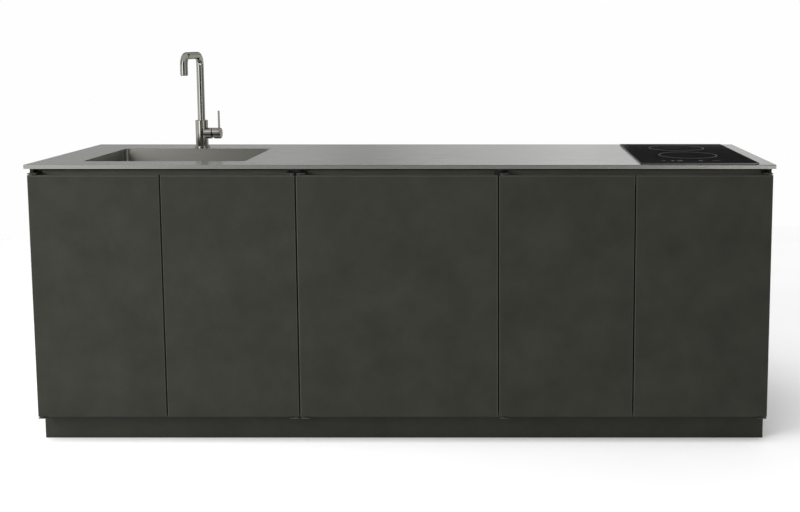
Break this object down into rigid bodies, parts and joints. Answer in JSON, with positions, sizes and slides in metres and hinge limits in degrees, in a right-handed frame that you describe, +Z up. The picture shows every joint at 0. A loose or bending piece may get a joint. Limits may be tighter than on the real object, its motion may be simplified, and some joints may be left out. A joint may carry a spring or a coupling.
{
  "type": "outdoor kitchen",
  "caption": "Free-standing outdoor kitchen: dark handle-less cabinets under a thin steel worktop with an inset sink, a single-lever tap and a black glass hob.",
  "frame": {"origin": "on the ground, under the middle of the worktop", "axes": "+X along the worktop to the viewer's right, -Y towards the doors and the user, +Z up"},
  "size_m": [2.214, 0.6, 1.175],
  "materials": {
    "front_laminate": "matt stone-effect compact laminate",
    "carcass_laminate": "matt compact laminate",
    "dark_metal": "matt powder coat",
    "worktop_steel": "fine brushed along the length",
    "tap_steel": "satin, almost polished",
    "core_board": "sealed plywood",
    "black_glass": "gloss ceramic glass",
    "zinc_steel": "bright zinc plated",
    "black_plastic": "fine moulded",
    "white_plastic": "smooth moulded",
    "rubber": "matt",
    "brass": "turned",
    "copper": "enamelled copper winding"
  },
  "bodies": {
    "carcass": {"left_end_panel": "carcass_laminate", "sink_side_panel": "carcass_laminate", "centre_left_panel": "carcass_laminate", "centre_right_panel": "carcass_laminate", "hob_side_panel": "carcass_laminate", "right_end_panel": "carcass_laminate", "sink_cabinet_floor": "carcass_laminate", "centre_cabinet_floor": "carcass_laminate", "hob_cabinet_floor": "carcass_laminate", "sink_back_panel": "carcass_laminate", "centre_back_panel": "carcass_laminate", "hob_back_panel": "carcass_laminate", "centre_shelf": "carcass_laminate", "hob_cabinet_shelf": "carcass_laminate", "shelf_pins": "zinc_steel", "top_rails": "carcass_laminate", "finger_channel": "dark_metal", "plinth_front": "carcass_laminate", "plinth_returns": "carcass_laminate", "leveller_sockets": "black_plastic", "levelling_feet": "black_plastic", "hinge_brackets": "dark_metal", "hinge_pins": "zinc_steel", "bracket_screws": "dark_metal", "door_buffers": "rubber", "worktop_sheet": "worktop_steel", "worktop_core": "core_board", "sink_bowl": "worktop_steel", "waste_flange": "worktop_steel", "waste_nut": "black_plastic", "bottle_trap": "white_plastic", "waste_pipe": "white_plastic", "tap_body": "tap_steel", "tap_base_ring": "tap_steel", "tap_shank": "brass", "tap_nut": "black_plastic", "mixer_cartridge": "brass", "hob_glass": "black_glass", "hob_seal": "rubber", "hob_casing": "zinc_steel", "hob_touch_board": "black_plastic", "hob_coils": "copper", "hob_clamps": "zinc_steel", "hob_terminal_box": "black_plastic"},
    "strainer": {"strainer_basket": "worktop_steel"},
    "spout": {"spout": "tap_steel", "aerator": "black_plastic"},
    "mixer_stem": {"mixer_stem": "tap_steel"},
    "mixer_handle": {"mixer_cap": "tap_steel", "mixer_lever": "tap_steel"},
    "door_1": {"door_1": "front_laminate", "door_1_bushes": "black_plastic"},
    "door_2": {"door_2": "front_laminate", "door_2_bushes": "black_plastic"},
    "door_3": {"door_3": "front_laminate", "door_3_bushes": "black_plastic"},
    "door_4": {"door_4": "front_laminate", "door_4_bushes": "black_plastic"},
    "door_5": {"door_5": "front_laminate", "door_5_bushes": "black_plastic"}
  },
  "joints": [
    {"name": "door_1_hinge", "type": "hinge", "parent": "carcass", "child": "door_1", "pos_m": [-1.091, -0.2875, 0.4505], "axis": [0, 0, -1], "range_deg": [0, 90]},
    {"name": "door_2_hinge", "type": "hinge", "parent": "carcass", "child": "door_2", "pos_m": [-0.321, -0.2875, 0.4505], "axis": [0, 0, 1], "range_deg": [0, 90]},
    {"name": "door_3_hinge", "type": "hinge", "parent": "carcass", "child": "door_3", "pos_m": [-0.299, -0.2875, 0.4505], "axis": [0, 0, -1], "range_deg": [0, 90]},
    {"name": "door_4_hinge", "type": "hinge", "parent": "carcass", "child": "door_4", "pos_m": [0.301, -0.2875, 0.4505], "axis": [0, 0, -1], "range_deg": [0, 90]},
    {"name": "door_5_hinge", "type": "hinge", "parent": "carcass", "child": "door_5", "pos_m": [1.091, -0.2875, 0.4505], "axis": [0, 0, 1], "range_deg": [0, 90]},
    {"name": "spout_swivel", "type": "hinge", "parent": "carcass", "child": "spout", "pos_m": [-0.723, 0.205, 0.93], "axis": [0, 0, 1], "range_deg": [-70, 70]},
    {"name": "mixer_temperature", "type": "hinge", "parent": "carcass", "child": "mixer_stem", "pos_m": [-0.679, 0.205, 0.898], "axis": [1, 0, 0], "range_deg": [-45, 45]},
    {"name": "mixer_flow", "type": "hinge", "parent": "mixer_stem", "child": "mixer_handle", "pos_m": [-0.679, 0.205, 0.898], "axis": [0, 1, 0], "range_deg": [0, 20]},
    {"name": "strainer_lift", "type": "slide", "parent": "carcass", "child": "strainer", "axis": [0, 0, 1], "range_m": [0, 0.25]}
  ]
}
